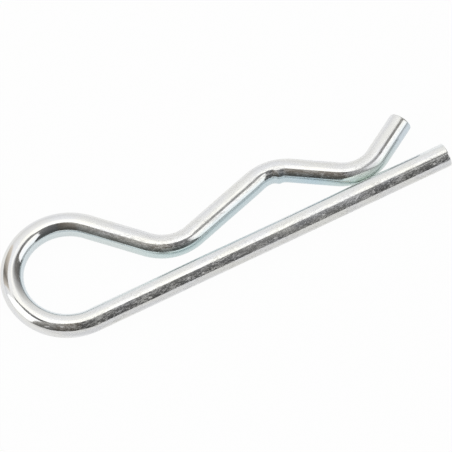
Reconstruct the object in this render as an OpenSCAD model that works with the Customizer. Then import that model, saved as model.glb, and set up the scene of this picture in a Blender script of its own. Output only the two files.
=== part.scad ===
// Hitch R-clip, also called a hairpin cotter: one length of round spring wire,
// bent cold into a bow, a straight leg and a humped leg.
//
// In use the straight leg goes through the cross hole of a hitch pin, and the
// hump springs over the outside of that pin. The flared end is the lead-in that
// rides up over the pin, and the bow is both the spring and the finger loop.
//
// Origin: on the straight leg's axis, where the axis of the hitch pin crosses
// it. +X runs along the straight leg to its tip, +Y points to the humped leg,
// and +Z is along the hitch pin. The clip lies flat in the XY plane.

/* [Wire] */
// Diameter of the round spring wire
wire_d = 4; // [3:0.1:5]
// Loss of diameter in the bends, where cold bending has drawn the wire thinner
bend_draw = 0.04; // [0.02:0.01:0.12]
// Bevel that breaks the sharp edge of both sheared ends
end_bevel = 0.3; // [0.1:0.05:0.6]

/* [Hitch pin it holds] */
// Diameter of the hitch pin under the hump
pin_d = 16; // [14:0.5:20]
// Play between the top of the hitch pin and the underside of the hump
pin_play = 0.7; // [0.1:0.1:1.5]

/* [Straight leg] */
// Reach of the straight leg beyond the hitch pin's axis
tip_reach = 28.4; // [24:0.1:40]

/* [Bow] */
// Inside diameter of the round bow
bow_bore = 14.8; // [12:0.1:20]
// Angle at which the humped leg leaves the bow, down towards the straight leg
bow_exit_angle = 46; // [35:1:55]

/* [Belly, where the two legs come together behind the hitch pin] */
// Clear gap between the two legs at the belly
belly_gap = 2; // [0.5:0.1:4]
// Inside radius of the belly bend
belly_bend_r = 5.5; // [3:0.1:8]
// Angle at which the leg climbs from the belly to the hump
rise_angle = 17; // [12:1:24]

/* [Hump] */
// Inside radius of the bend at the top of the hump
hump_bend_r = 5.7; // [3:0.1:8]
// Angle at which the leg falls from the hump to the foot
fall_angle = 33; // [25:1:42]

/* [Foot and flared end] */
// Hairline gap between the foot and the straight leg when the clip is at rest
foot_gap = 0.05; // [0.02:0.01:1]
// Inside radius of the foot bend
foot_bend_r = 4.8; // [3:0.1:8]
// Angle at which the flared end lifts away from the straight leg
flare_angle = 32; // [20:1:40]
// Straight length of the flared end
flare_length = 7.6; // [4:0.05:12]

/* [Hidden] */
$fn = 64;

wire_r = wire_d / 2;
bend_wire_r = (wire_d - bend_draw) / 2;
// Sweep by which a bend reaches into the run at either end of it
lap_angle = 0.5;

// Radii of the wire's centreline in its four bends
bow_r = bow_bore / 2 + bend_wire_r;
belly_r = belly_bend_r + bend_wire_r;
hump_r = hump_bend_r + bend_wire_r;
foot_r = foot_bend_r + bend_wire_r;

// Heights of the centreline above the straight leg's axis
belly_height = wire_r + belly_gap + bend_wire_r;
hump_height = pin_d / 2 + pin_play + bend_wire_r;
foot_height = wire_r + foot_gap + bend_wire_r;

// Rise or fall of a bend between the direction of the straight leg and an angle
function bend_height(r, angle) = r * (1 - cos(angle));

// Straight lengths that join the bends and bring each of them to its height
exit_drop = bow_r + bow_r * cos(bow_exit_angle) - belly_height
    - bend_height(belly_r, bow_exit_angle);
exit_length = exit_drop / sin(bow_exit_angle);
rise_height = hump_height - belly_height - bend_height(belly_r + hump_r, rise_angle);
rise_length = rise_height / sin(rise_angle);
fall_height = hump_height - foot_height - bend_height(hump_r + foot_r, fall_angle);
fall_length = fall_height / sin(fall_angle);

// Distance along X from the bow's centre to the hitch pin's axis
bow_to_pin = (bow_r + belly_r) * sin(bow_exit_angle)
    + exit_length * cos(bow_exit_angle)
    + (belly_r + hump_r) * sin(rise_angle)
    + rise_length * cos(rise_angle);
leg_length = bow_to_pin + tip_reach;

// Straight run of wire along X from the origin. The children carry on from its end.
module run(length) {
    rotate([0, 90, 0])
        cylinder(d = wire_d, h = length);
    translate([length, 0, 0])
        children();
}

// Bend of the wire that starts at the origin along X and turns left, or right
// where the angle is negative. Both of its ends reach a little way into the
// straight runs beside it. The children carry on from the end of the turn.
module bend(r, angle) {
    side = sign(angle);
    translate([0, side * r, 0]) {
        rotate([0, 0, -side * (90 + lap_angle)])
            rotate_extrude(angle = angle + side * 2 * lap_angle)
                translate([r, 0])
                    circle(r = bend_wire_r);
        rotate([0, 0, angle])
            translate([0, -side * r, 0])
                children();
    }
}

// Sheared end of the wire along X, with its edge broken by a bevel
module sheared_end() {
    rotate([0, 90, 0])
        cylinder(d1 = wire_d, d2 = wire_d - 2 * end_bevel, h = end_bevel);
}

// Straight leg: from its tip back to the bow, where the children carry on
module straight_leg() {
    translate([tip_reach - end_bevel, 0, 0]) {
        sheared_end();
        rotate([0, 0, 180])
            run(leg_length - end_bevel)
                children();
    }
}

// Bow: more than half a turn, so that the humped leg comes back down
module bow() {
    bend(bow_r, -180 - bow_exit_angle)
        children();
}

// Humped leg: belly, hump and foot, then the flared end
module humped_leg() {
    run(exit_length)
        bend(belly_r, bow_exit_angle + rise_angle)
            run(rise_length)
                bend(hump_r, -rise_angle - fall_angle)
                    run(fall_length)
                        bend(foot_r, fall_angle + flare_angle)
                            run(flare_length - end_bevel)
                                sheared_end();
}

// The whole clip is one length of wire, plated with bright zinc
module spring_wire() {
    color("gainsboro")
        straight_leg()
            bow()
                humped_leg();
}

spring_wire();
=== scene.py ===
"""Hitch R-clip: one length of round spring wire, bent cold, plated with bright
zinc, and laid flat on a white table between the soft lights of a small studio."""

import math

import bmesh
import bpy
from mathutils import Euler, Matrix, Vector, noise


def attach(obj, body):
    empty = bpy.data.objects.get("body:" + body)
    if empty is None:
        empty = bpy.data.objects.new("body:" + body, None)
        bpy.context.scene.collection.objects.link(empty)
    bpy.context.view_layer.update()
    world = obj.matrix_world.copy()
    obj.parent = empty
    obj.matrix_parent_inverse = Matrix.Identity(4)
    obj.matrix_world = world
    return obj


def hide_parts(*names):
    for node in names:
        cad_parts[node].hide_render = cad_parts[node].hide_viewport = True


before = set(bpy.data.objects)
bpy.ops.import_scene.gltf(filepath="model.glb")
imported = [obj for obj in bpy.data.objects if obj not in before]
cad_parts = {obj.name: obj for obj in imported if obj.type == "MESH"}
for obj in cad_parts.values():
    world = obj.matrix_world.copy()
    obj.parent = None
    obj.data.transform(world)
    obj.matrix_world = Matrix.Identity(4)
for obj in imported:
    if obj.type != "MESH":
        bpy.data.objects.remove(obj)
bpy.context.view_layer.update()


# Spring wire: 4 mm round hard drawn steel. It is bent cold round pins into a bow, a
# straight leg and a humped leg, and sheared off at both ends. In the bends the wire
# is drawn a little thinner. Its sizes are in millimetres, and its angles in degrees.

MM = 0.001
wire_r, bend_wire_r = 2.0, 1.98
tip_reach, flare_length = 28.4, 7.6
bow_exit, rise, fall, flare = 46, 17, 33, 32
hitch_pin_r, pin_play, belly_gap, foot_gap = 8.0, 0.7, 2.0, 0.05

# The shear rolls the leg's tip over less than the flared end
tip_edge, flare_edge = 0.12, 0.3

# Radii of the centreline in the bends, each a bending pin's with half the wire's
# thickness, and its heights above the straight leg's own
bow_r = 7.4 + bend_wire_r
belly_r = 5.5 + bend_wire_r
hump_r = 5.7 + bend_wire_r
foot_r = 4.8 + bend_wire_r
belly_height = wire_r + belly_gap + bend_wire_r
hump_height = hitch_pin_r + pin_play + bend_wire_r
foot_height = wire_r + foot_gap + bend_wire_r


def bend_height(radius, angle):
    """Rise or fall of a bend between the straight leg's direction and an angle."""
    return radius * (1 - math.cos(math.radians(angle)))


def run_length(height, angle):
    """Length of a straight run that rises or falls by a height."""
    return height / math.sin(math.radians(angle))


exit_length = run_length(
    2 * bow_r - bend_height(bow_r, bow_exit) - belly_height
    - bend_height(belly_r, bow_exit), bow_exit)
rise_length = run_length(
    hump_height - belly_height - bend_height(belly_r + hump_r, rise), rise)
fall_length = run_length(
    hump_height - foot_height - bend_height(hump_r + foot_r, fall), fall)
leg_length = (
    (bow_r + belly_r) * math.sin(math.radians(bow_exit))
    + exit_length * math.cos(math.radians(bow_exit))
    + (belly_r + hump_r) * math.sin(math.radians(rise))
    + rise_length * math.cos(math.radians(rise)) + tip_reach)

# The mesh is drawn ring by ring, from the leg's tip to the flared end. Each sheared
# face has rings from a small centre outwards, and its rolled edge a few more. A bend
# grows thinner over its first and last 1.1 mm.
ring_sides, face_rings, edge_rings = 96, 10, 4
centre_r = 0.08
run_pitch, bend_pitch = 0.55, 0.36
thinning = 1.1

# Each point keeps its place on the straight wire, in millimetres: along it from the
# tip, then across to the outer side, then up. The marks of drawing follow it, and the
# inner side, where across is below zero, is the one that faces the other leg.
wire = bmesh.new()
drawn = wire.verts.layers.float_vector.new("drawn_wire")
pen = Matrix.Translation((tip_reach, 0, 0)) @ Matrix.Rotation(math.pi, 4, "Z")
ring = bmesh.ops.create_circle(
    wire, segments=ring_sides, radius=centre_r,
    matrix=pen @ Matrix.Rotation(math.pi / 2, 4, "Y"))["verts"]
for v in ring:
    on_face = pen.inverted() @ v.co
    v[drawn] = (0, on_face.y, on_face.z)
bmesh.ops.contextual_create(wire, geom=ring)
ring = list({e for v in ring for e in v.link_edges})


def next_ring(ring, move, along, radius):
    """One more ring of wire: the last one pulled on by a move, at a new radius."""
    global pen
    made = bmesh.ops.extrude_edge_only(wire, edges=ring)["geom"]
    verts = [v for v in made if isinstance(v, bmesh.types.BMVert)]
    pen = move @ pen
    growth = radius / math.hypot(*verts[0][drawn].yz)
    resize = pen @ Matrix.Diagonal((1, growth, growth, 1)) @ pen.inverted()
    bmesh.ops.transform(wire, matrix=resize @ move, verts=verts)
    for v in verts:
        v[drawn] = (along, v[drawn].y * growth, v[drawn].z * growth)
    return [e for e in made if isinstance(e, bmesh.types.BMEdge) and e.is_boundary]


def forward(distance):
    """Move along the wire's own direction."""
    return Matrix.Translation(pen.to_3x3() @ Vector((distance, 0, 0)))


def run(ring, length):
    """Straight run of wire."""
    global length_so_far
    steps = math.ceil(length / run_pitch)
    for _ in range(steps):
        length_so_far += length / steps
        ring = next_ring(ring, forward(length / steps), length_so_far, wire_r)
    return ring


def bend(ring, radius, angle):
    """Bend of the wire, to the left, or to the right where the angle is negative."""
    global length_so_far
    centre = Matrix.Translation(pen @ Vector((0, math.copysign(radius, angle), 0)))
    arc = radius * math.radians(abs(angle))
    steps = math.ceil(arc / bend_pitch)
    turn = Matrix.Rotation(math.radians(angle) / steps, 4, "Z")
    for step in range(1, steps + 1):
        length_so_far += arc / steps
        from_run = min(step, steps - step) * arc / steps
        ring = next_ring(ring, centre @ turn @ centre.inverted(), length_so_far,
                         wire_r - (wire_r - bend_wire_r) * min(1, from_run / thinning))
    return ring


# Sheared face of the tip, from its centre out, and the edge that the shear rolled over
length_so_far = 0.0
for step in range(1, face_rings + 1):
    ring = next_ring(ring, Matrix.Identity(4), 0.0,
                     centre_r + (wire_r - tip_edge - centre_r) * step / face_rings)
for step in range(1, edge_rings + 1):
    turned = math.radians(90 * step / edge_rings)
    depth = tip_edge * (1 - math.cos(turned))
    ring = next_ring(ring, forward(depth - length_so_far), depth,
                     wire_r - tip_edge * (1 - math.sin(turned)))
    length_so_far = depth

# Legs, bow and bends. A narrow ring beside each rolled edge keeps the edge's smooth
# shading off the run.
narrow = 0.04
ring = run(ring, narrow)
ring = run(ring, leg_length - tip_edge - narrow)
ring = bend(ring, bow_r, -180 - bow_exit)
ring = run(ring, exit_length)
ring = bend(ring, belly_r, bow_exit + rise)
ring = run(ring, rise_length)
hump_start = length_so_far
ring = bend(ring, hump_r, -rise - fall)
ring = run(ring, fall_length)
foot_start = length_so_far
ring = bend(ring, foot_r, fall + flare)
ring = run(ring, flare_length - flare_edge - narrow)
ring = run(ring, narrow)

# Rolled edge of the flared end, and its sheared face, in to the centre
edge_start = length_so_far
wire_length = edge_start + flare_edge
for step in range(1, edge_rings + 1):
    turned = math.radians(90 * step / edge_rings)
    reached = edge_start + flare_edge * math.sin(turned)
    ring = next_ring(ring, forward(reached - length_so_far), reached,
                     wire_r - flare_edge * (1 - math.cos(turned)))
    length_so_far = reached
for step in range(1, face_rings + 1):
    ring = next_ring(ring, Matrix.Identity(4), wire_length,
                     wire_r - flare_edge - (wire_r - flare_edge - centre_r) * step / face_rings)
bmesh.ops.contextual_create(wire, geom=list({v for e in ring for v in e.verts}))

# What tools and wear leave on it: a slow waviness of the drawn wire, a dent and a ridge
# that the forming pin pressed inside the hump, a flat that the straight leg has worn on
# the foot, and on the leg's tip the smooth crescent and rim of the cut, round the rough
# and deeper break. Angles are in radians here, from the inner side upwards.
wave_height, wave_length, wave_width = 0.012, 5, 2.5
dent_at, dent_depth, dent_before, dent_after = hump_start + 3.0, 0.25, 2.0, 0.75
ridge_at, ridge_height, ridge_width = hump_start + 4.4, 0.20, 0.65
pressed_angle, pressed_width = 0.2, 0.95
worn_at, worn_depth, worn_length, worn_angle = foot_start + 3.3, 0.18, 2.1, 0.54
rim_width, rim_fade, cut_above, cut_fade = 0.3, 0.2, 0.7, 0.5
break_depth, break_grain, grain_size = 0.10, 0.05, 1 / 2.2


def relief(along, across, up):
    """Height in millimetres of the wire's surface above a plain round wire."""
    angle = math.atan2(up, -across)
    wave = noise.noise((along / wave_length, across / wave_width, up / wave_width))
    pressed = math.exp(-((angle - pressed_angle) / pressed_width) ** 4)
    ridge = math.exp(-((along - ridge_at) / ridge_width) ** 2)
    dent_length = dent_before if along < dent_at else dent_after
    dent = math.exp(-((along - dent_at) / dent_length) ** 2)
    worn = math.exp(-((along - worn_at) / worn_length) ** 2)
    off_flat = max(-1, min(1, angle - worn_angle))
    flat = (wire_r - worn_depth * worn) / math.cos(off_flat) - wire_r
    return (wave_height * wave + pressed * (ridge_height * ridge - dent_depth * dent)
            + min(0, flat))


def sheared(along, across, up):
    """Height in millimetres of the tip's face: nought on the cut, below it on the break."""
    below_cut = min(1, max(0, (cut_above - up) / cut_fade))
    inside_rim = min(1, (wire_r - rim_width - math.hypot(across, up)) / rim_fade)
    grain = noise.fractal((along, across / grain_size, up / grain_size), 0.8, 2.0, 4)
    return -max(0, below_cut * inside_rim) * (break_depth + break_grain * grain)


wire.normal_update()
bmesh.ops.recalc_face_normals(wire, faces=wire.faces)
wire.normal_update()
heights = []
for v in wire.verts:
    on_tip = v[drawn].x == 0
    heights.append(v.normal * (sheared(*v[drawn]) if on_tip else relief(*v[drawn])))
for v, height in zip(wire.verts, heights):
    v.co += height
for face in wire.faces:
    face.smooth = True
bmesh.ops.scale(wire, vec=(MM, MM, MM), verts=wire.verts)
mesh = bpy.data.meshes.new("spring_wire_plated")
wire.to_mesh(mesh)
wire.free()
spring_wire = bpy.data.objects.new("spring_wire_plated", mesh)
bpy.context.collection.objects.link(spring_wire)


def linear(hex_colour):
    """An sRGB hex colour as linear RGBA."""
    parts = [int(hex_colour[i:i + 2], 16) / 255 for i in (1, 3, 5)]
    return [p / 12.92 if p <= 0.04045 else ((p + 0.055) / 1.055) ** 2.4 for p in parts] + [1]


def add(tree, kind, inputs=None, **settings):
    """A node with its settings, and its inputs set or linked."""
    made = tree.nodes.new("ShaderNode" + kind)
    for name, value in settings.items():
        setattr(made, name, value)
    for name, value in (inputs or {}).items():
        if isinstance(value, bpy.types.NodeSocket):
            tree.links.new(value, made.inputs[name])
        else:
            made.inputs[name].default_value = value
    return made


# Bright zinc plate with a clear blue passivate, over drawn steel: a mirror with a thin
# haze of scuffs, so that light bands stay clean and dark ones look mottled. The film of
# the passivate tints the inner side, and part of that tint is painted shade.
zinc = bpy.data.materials.new("bright_zinc_plate")
zinc.use_nodes = True
tree = zinc.node_tree
shader = tree.nodes["Principled BSDF"]
place = add(tree, "Attribute", attribute_name="drawn_wire").outputs["Vector"]
along, across, up = add(tree, "SeparateXYZ", {0: place}).outputs
way = add(tree, "MapRange", {"Value": along, "From Max": wire_length}).outputs[0]

# Haze, the part of the surface that scatters light instead of mirroring it, against
# millimetres along the wire
haze = add(tree, "ValToRGB", {0: way})
haze.color_ramp.elements[0].color = (0.13, 0.13, 0.13, 1)
haze.color_ramp.elements[1].color = (0.15, 0.15, 0.15, 1)
for at, part in (
        (11, 0.11), (14, 0.21), (40, 0.20), (46, 0.13), (64, 0.12), (70, 0.06), (80, 0.05),
        (92, 0.00), (100, 0.02), (105, 0.13), (118, 0.22), (130, 0.18), (136, 0.16),
        (142, 0.07), (150, 0.09), (158, 0.18)):
    haze.color_ramp.elements.new(at / wire_length).color = (part, part, part, 1)

# It gathers in flecks drawn out along the wire, and in longer streaks, with sizes in
# millimetres. The second ramp says how much the flecks stand out, along the wire too.
fleck_width, fleck_length = 0.2, 0.5
streak_width, streak_length = 0.7, 2.8
fleck_place = add(tree, "Mapping", {"Vector": place,
                                    "Scale": (fleck_width / fleck_length, 1, 1)}).outputs[0]
flecks = add(tree, "TexNoise", {"Vector": fleck_place, "Scale": 1 / fleck_width,
                                "Detail": 2.0, "Roughness": 0.6}).outputs["Fac"]
streak_place = add(tree, "Mapping", {"Vector": place,
                                     "Scale": (streak_width / streak_length, 1, 1)}).outputs[0]
streaks = add(tree, "TexNoise", {"Vector": streak_place, "Scale": 1 / streak_width,
                                 "Detail": 1.0}).outputs["Fac"]
streaked = add(tree, "Math", {0: streaks, 1: 0.6, 2: -0.3},
               operation="MULTIPLY_ADD").outputs[0]
scuffed = add(tree, "Math", {0: flecks, 1: streaked}, operation="ADD").outputs[0]
contrast = add(tree, "MapRange", {"Value": scuffed, "From Min": 0.44, "From Max": 0.68,
                                  "To Min": -1.5, "To Max": 3.2}).outputs[0]
crisp = add(tree, "ValToRGB", {0: way})
crisp.color_ramp.elements[0].color = (0.85, 0.85, 0.85, 1)
crisp.color_ramp.elements[1].color = (0.3, 0.3, 0.3, 1)
for at, part in (
        (12, 0.85), (16, 0.48), (38, 0.48), (44, 1.0), (76, 1.0), (84, 0.4), (104, 0.7),
        (118, 0.6), (126, 0.35), (134, 0.45), (139, 1.0), (151, 1.0), (158, 0.3)):
    crisp.color_ramp.elements.new(at / wire_length).color = (part, part, part, 1)
dense = add(tree, "Math", {0: crisp.outputs[0], 1: contrast, 2: 1.0},
            operation="MULTIPLY_ADD").outputs[0]
dull = add(tree, "Math", {0: haze.outputs[0], 1: dense}, operation="MULTIPLY",
           use_clamp=True).outputs[0]

# Nicks and scratches from the drum, on the wire rolled out flat: place along the wire
# and round it in millimetres, half length, half width, and turn in degrees
nick_haze = 0.85
angle = add(tree, "Math", {0: up, 1: across}, operation="ARCTAN2").outputs[0]
girth = add(tree, "Math", {0: angle, 1: wire_r}, operation="MULTIPLY").outputs[0]
rolled_out = add(tree, "CombineXYZ", {0: along, 1: girth}).outputs[0]
nicked = 0.0
for x, y, half_length, half_width, turn in (
        (17.1, 2.09, 1.0, 0.10, -33), (13.9, 0.75, 0.5, 0.08, -26),
        (2.9, 1.7, 0.3, 0.18, 20), (11.1, 1.45, 0.25, 0.16, 0),
        (23.5, 1.9, 0.3, 0.14, 15), (32.5, 1.75, 0.35, 0.14, 5),
        (44.0, 1.5, 0.5, 0.09, -20), (45.9, 1.6, 0.3, 0.16, 0),
        (48.5, 1.85, 0.35, 0.20, -10), (55.7, 1.64, 0.35, 0.17, 8),
        (65.2, 1.43, 0.3, 0.14, 0), (70.7, 2.06, 0.35, 0.14, 0),
        (72.9, 1.68, 0.4, 0.12, -8), (127.0, 4.3, 0.6, 0.08, 12)):
    nick = add(tree, "Mapping", {"Vector": rolled_out, "Location": (x, y, 0),
                                 "Rotation": (0, 0, math.radians(turn)),
                                 "Scale": (half_length, half_width, 1)},
               vector_type="TEXTURE").outputs[0]
    off = add(tree, "VectorMath", {0: nick}, operation="LENGTH").outputs["Value"]
    mark = add(tree, "MapRange", {"Value": off, "From Min": 0.6, "From Max": 1.3,
                                  "To Min": nick_haze, "To Max": 0.0}).outputs[0]
    nicked = add(tree, "Math", {0: nicked, 1: mark}, operation="MAXIMUM").outputs[0]
dull = add(tree, "Math", {0: dull, 1: nicked}, operation="MAXIMUM").outputs[0]

# Film on the inner side, which faces the other leg and fills the scuffs under it. Its
# tint is partly the passivate's own and partly painted shade of the shaded paper and wire
# between the legs, which the inner side mirrors. It reaches further round the straight
# leg, is fuller and bluer along the humped leg, and is greenest at the foot, which lies
# against the straight leg. Its tints stand against millimetres along the wire, and the
# first and last against shares of it.
further_round = 0.55
film_shift = add(tree, "MapRange", {"Value": along, "From Min": 60, "From Max": 80,
                                    "To Min": -further_round, "To Max": 0.0}).outputs[0]
film_side = add(tree, "Math", {0: across, 1: film_shift}, operation="ADD").outputs[0]
inner = add(tree, "MapRange", {"Value": film_side, "From Min": -0.9, "From Max": -1.75},
            interpolation_type="SMOOTHSTEP").outputs[0]
film_and_painted_shade = add(tree, "ValToRGB", {0: way})
film_and_painted_shade.color_ramp.elements[0].position = 0.36
film_and_painted_shade.color_ramp.elements[0].color = linear("#EAEDEE")
film_and_painted_shade.color_ramp.elements[1].position = 0.98
film_and_painted_shade.color_ramp.elements[1].color = linear("#CFD9E0")
for at, tint in ((78, "#D6E0E6"), (109, "#DAE2E1"), (117, "#CDDDDD"), (128, "#CAD8DC"),
                 (138.5, "#CEDBE0"), (146, "#C2D6DF"), (153.6, "#D6E2DA")):
    film_and_painted_shade.color_ramp.elements.new(at / wire_length).color = linear(tint)
unfilled = add(tree, "Math", {0: inner, 1: -0.85, 2: 1.0},
               operation="MULTIPLY_ADD").outputs[0]
dull = add(tree, "Math", {0: dull, 1: unfilled}, operation="MULTIPLY").outputs[0]

# The last drop of the bath dried milky on the foot
drop_haze = 0.55
drop_place = add(tree, "Mapping", {"Vector": place, "Location": (foot_start + 4.3, -1.2, 1.4),
                                   "Scale": (3.0, 1.6, 1.6)}, vector_type="TEXTURE").outputs[0]
off = add(tree, "VectorMath", {0: drop_place}, operation="LENGTH").outputs["Value"]
drop = add(tree, "MapRange", {"Value": off, "From Min": 0.3, "From Max": 1.1,
                              "To Min": 1.0, "To Max": 0.0},
           interpolation_type="SMOOTHSTEP").outputs[0]
dull = add(tree, "Mix", {0: drop, 2: dull, 3: drop_haze}).outputs[0]

# A mirror's polish, rougher where it is dull
polish, scuff = 0.09, 0.15
roughness = add(tree, "Math", {0: dull, 1: scuff, 2: polish},
                operation="MULTIPLY_ADD").outputs[0]
tree.links.new(roughness, shader.inputs["Roughness"])

# The plate is a shade warmer and cooler in patches 1.6 mm wide, drawn out as well
patch_width, drawn_out = 1.6, 0.3
patch_place = add(tree, "Mapping", {"Vector": place, "Scale": (drawn_out, 1, 1)}).outputs[0]
patches = add(tree, "TexNoise", {"Vector": patch_place, "Scale": 1 / patch_width,
                                 "Detail": 1.0}).outputs["Fac"]
plate = add(tree, "ValToRGB", {0: patches})
plate.color_ramp.elements[0].position = 0.36
plate.color_ramp.elements[0].color = linear("#E7E7E4")
plate.color_ramp.elements[1].position = 0.64
plate.color_ramp.elements[1].color = linear("#E5E6E8")
plate.color_ramp.elements.new(0.5).color = linear("#E7E7E6")
# The inner side takes the film's tint, partly its own colour and partly painted shade
colour = add(tree, "Mix", {0: inner, 6: plate.outputs[0], 7: film_and_painted_shade.outputs[0]},
             data_type="RGBA").outputs[2]
tree.links.new(colour, shader.inputs["Base Color"])

# The film's thickest part is a little milky, and flecks stand a hair above the mirror
film_haze, fleck_height = 0.17, 0.00002
milky = add(tree, "MapRange", {"Value": film_side, "From Min": -1.5, "From Max": -1.9,
                               "To Min": 0.0, "To Max": film_haze}).outputs[0]
dull = add(tree, "Math", {0: dull, 1: milky}, operation="MAXIMUM").outputs[0]
mirror = add(tree, "Math", {0: 1.0, 1: dull}, operation="SUBTRACT").outputs[0]
tree.links.new(mirror, shader.inputs["Metallic"])
bump = add(tree, "Bump", {"Height": dull, "Strength": 0.06, "Distance": fleck_height})
tree.links.new(bump.outputs[0], shader.inputs["Normal"])
mesh.materials.append(zinc)

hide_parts("spring_wire")
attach(spring_wire, "root")


# Table: a wide sheet of white paper that the clip lies on. The camera and the zinc see
# it mostly as plain white, and the rest is its real shade, where the clip's shadow shows.
# To the zinc it is darker in front of the clip, a painted shade of the flags that is set
# by place on the table. Its sizes are in metres.

table_half = 6.0
white_to_camera, white_in_front, white_behind = 0.97, 0.5, 0.82
darker_from, darker_to = -2.2 * MM, -3.8 * MM

table = bmesh.new()
bmesh.ops.create_grid(table, x_segments=1, y_segments=1, size=table_half,
                      matrix=Matrix.Translation((0, 0, -wire_r * MM)))
paper = bpy.data.meshes.new("white_paper_table")
table.to_mesh(paper)
table.free()
floor = bpy.data.objects.new("white_paper_table", paper)
bpy.context.collection.objects.link(floor)

white_paper = bpy.data.materials.new("white_paper")
white_paper.use_nodes = True
tree = white_paper.node_tree
shade = add(tree, "BsdfDiffuse", {"Color": linear("#F2F2F2")})
white = add(tree, "Emission", {"Color": linear("#FFFFFF"), "Strength": 1.0})
rays = add(tree, "LightPath").outputs
mirrored = add(tree, "Math", {0: rays["Is Glossy Ray"], 1: rays["Is Transmission Ray"]},
               operation="MAXIMUM").outputs[0]
depth = add(tree, "SeparateXYZ", {0: add(tree, "TexCoord").outputs["Object"]}).outputs[1]
# Painted shade: in front of the clip the zinc sees less of the paper's white glow
share = add(tree, "MapRange", {"Value": depth, "From Min": darker_to, "From Max": darker_from,
                               "To Min": white_in_front, "To Max": white_behind}).outputs[0]
share = add(tree, "Math", {0: mirrored, 1: share}, operation="MULTIPLY").outputs[0]
share = add(tree, "Mix", {0: rays["Is Camera Ray"], 2: share, 3: white_to_camera}).outputs[0]
both = add(tree, "MixShader", {0: share, 1: shade.outputs[0], 2: white.outputs[0]})
tree.links.new(both.outputs[0], tree.nodes["Material Output"].inputs["Surface"])
tree.nodes.remove(tree.nodes["Principled BSDF"])
paper.materials.append(white_paper)


# Room: white walls all round, a little lighter towards the ceiling, which the zinc
# mirrors as they are. To the paper they are even white light.

wall_light, paper_light = 1.03, 1.0

room = bpy.data.worlds.new("white_room")
bpy.context.scene.world = room
room.use_nodes = True
tree = room.node_tree
direction = add(tree, "TexCoord").outputs["Generated"]
height = add(tree, "SeparateXYZ", {0: direction}).outputs[2]
walls = add(tree, "ValToRGB", {0: height})
walls.color_ramp.elements[0].color = (0.79, 0.79, 0.79, 1)
for at, level in ((0.42, 0.87), (0.70, 0.94), (0.84, 1.0)):
    walls.color_ramp.elements.new(at).color = (level, level, level, 1)
walls = add(tree, "Math", {0: walls.outputs[0], 1: wall_light}, operation="MULTIPLY").outputs[0]
rays = add(tree, "LightPath").outputs
strength = add(tree, "Mix", {0: rays["Is Diffuse Ray"], 2: walls, 3: paper_light}).outputs[0]
tree.links.new(strength, tree.nodes["Background"].inputs["Strength"])
tree.nodes["Background"].inputs["Color"].default_value = linear("#FFFFFF")


# Softboxes overhead and on both sides, and flags between them: frames of lit and of dark
# cloth that stand round the clip and give the bright metal its bands. Each side one is a
# piece of a dome, in metres. The camera sees none of them, and none casts a shadow.

softbox_distance, flag_distance = 0.88, 0.90


def hang(name, shape, colour):
    """A panel as an object of the studio, in cloth that shines by the panel's glow."""
    data = bpy.data.meshes.new(name)
    shape.to_mesh(data)
    shape.free()
    made = bpy.data.objects.new(name, data)
    bpy.context.collection.objects.link(made)
    cloth = bpy.data.materials.new(name + "_cloth")
    cloth.use_nodes = True
    tree = cloth.node_tree
    glow = add(tree, "Attribute", attribute_name="glow").outputs["Fac"]
    light = add(tree, "Emission", {"Color": linear(colour), "Strength": glow}).outputs[0]
    tree.links.new(light, tree.nodes["Material Output"].inputs["Surface"])
    tree.nodes.remove(tree.nodes["Principled BSDF"])
    data.materials.append(cloth)
    made.visible_camera = False
    made.visible_shadow = False


def panel(name, colour, distance, *corners):
    """A panel on the dome between four corners, the two upper ones first.

    Each corner has its azimuth and its angle off the zenith in degrees, and its glow,
    where 1 is white.
    """
    shape = bmesh.new()
    glow = shape.verts.layers.float.new("glow")
    bmesh.ops.create_grid(shape, x_segments=16, y_segments=12, size=0.5)
    top_left, top_right, foot_left, foot_right = (Vector(corner) for corner in corners)
    for v in shape.verts:
        top = top_left.lerp(top_right, v.co.x + 0.5)
        foot = foot_left.lerp(foot_right, v.co.x + 0.5)
        azimuth, zenith, v[glow] = top.lerp(foot, 0.5 - v.co.y)
        turned = Euler((0, math.radians(zenith), math.radians(azimuth))).to_matrix()
        v.co = turned @ Vector((0, 0, distance))
    hang(name, shape, colour)


panel("softbox_left", "#FFFFFF", softbox_distance,
      (150, 36, 1.32), (193, 36, 1.32), (150, 83, 1.3), (193, 83, 1.3))
panel("softbox_right", "#FFFFFF", softbox_distance,
      (-57, 23, 1.22), (-9, 40, 1.25), (-69, 48, 1.22), (-12, 58, 1.25))
panel("softbox_right_foot", "#FFFFFF", softbox_distance,
      (-69, 48, 1.22), (-12, 58, 1.25), (-56, 76, 1.22), (-13, 75, 1.25))
panel("flag_left", "#FFFCF6", flag_distance,
      (-170, 3, 0.46), (-140, 3, 0.32), (-170, 88, 0.20), (-140, 83, 0.04))
panel("flag_camera", "#FFF4E6", flag_distance,
      (-140, 3, 0.32), (-104, 3, 0.11), (-140, 83, 0.04), (-104, 78, 0.06))
panel("flag_front", "#FFFFFF", flag_distance,
      (-104, 3, 0.11), (-44, 3, 0.24), (-104, 78, 0.06), (-60, 94, 0.07))
panel("flag_gap", "#FFFFFF", flag_distance,
      (-44, 3, 0.28), (6, 3, 0.22), (-52, 40, 0.34), (6, 48, 0.24))
panel("flag_under_right", "#FFFFFF", flag_distance,
      (-66, 74, 0.5), (-16, 74, 0.5), (-68, 88, 0.55), (-16, 88, 0.5))
panel("flag_right", "#FFFAF2", flag_distance,
      (-16, 30, 0.18), (14, 18, 0.20), (-20, 88, 0.04), (16, 88, 0.16))
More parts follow.
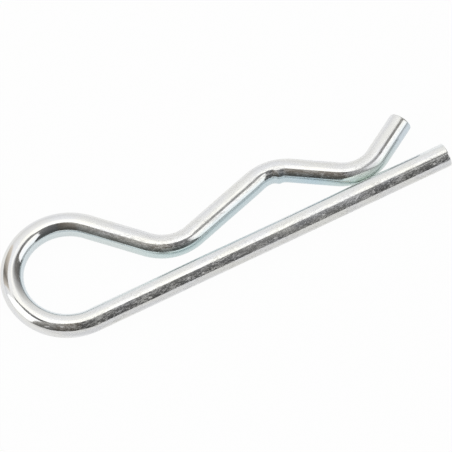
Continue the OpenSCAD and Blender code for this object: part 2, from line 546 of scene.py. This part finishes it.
panel("flag_right_shoulder", "#FFFFFF", flag_distance,
      (14, 24, 0.22), (50, 26, 0.78), (16, 88, 0.22), (46, 88, 0.85))
panel("flag_left_gap", "#FFFFFF", flag_distance,
      (138, 24, 0.35), (193, 21, 0.08), (138, 40, 0.2), (193, 40, 0.05))
panel("flag_far_left", "#F6ECDF", flag_distance,
      (103, 43, 0.9), (128, 46, 0.25), (106, 86, 0.85), (128, 86, 0.12))
panel("wall_far_right", "#FFFFFF", flag_distance,
      (44, 28, 0.88), (68, 28, 1.0), (44, 88, 0.79), (68, 88, 0.84))
panel("flag_far_left_too", "#F6ECDF", flag_distance,
      (128, 46, 0.25), (141, 49, 0.8), (128, 86, 0.12), (140, 86, 0.7))

# The softbox overhead is flat, and its front edge is slanted. Each corner has its x and
# y in metres, and its glow, with the front ones first.
overhead_height = 0.85
overhead = bmesh.new()
glow = overhead.verts.layers.float.new("glow")
bmesh.ops.create_grid(overhead, x_segments=1, y_segments=1, size=1)
corners = ((-0.38, 0.01, 1.42), (0.19, -0.098, 1.42), (-0.38, 0.43, 1.18), (0.26, 0.43, 1.18))
for v, (x, y, shine) in zip(overhead.verts, corners):
    v.co = (x, y, overhead_height)
    v[glow] = shine
hang("softbox_overhead", overhead, "#FFFEFA")


# Camera: a long lens from above and in front, 27 degrees off the vertical, turned a
# little so that the straight leg climbs to the right.

aim = Vector((-9.992, 5.277, 0)) * MM
distance = 1.4551
heading, tilt, roll = -22.548, 26.997, -4.792

camera_data = bpy.data.cameras.new("camera")
camera_data.lens = 700
camera_data.sensor_width = 36
camera_data.clip_start = 0.1
camera_data.clip_end = 20
camera = bpy.data.objects.new("camera", camera_data)
bpy.context.collection.objects.link(camera)
facing = (Matrix.Rotation(math.radians(heading), 4, "Z")
          @ Matrix.Rotation(math.radians(tilt), 4, "X")
          @ Matrix.Rotation(math.radians(roll), 4, "Z"))
camera.matrix_world = (Matrix.Translation(aim) @ facing
                       @ Matrix.Translation((0, 0, distance)))
bpy.context.scene.camera = camera

bpy.context.scene.view_settings.view_transform = "Standard"
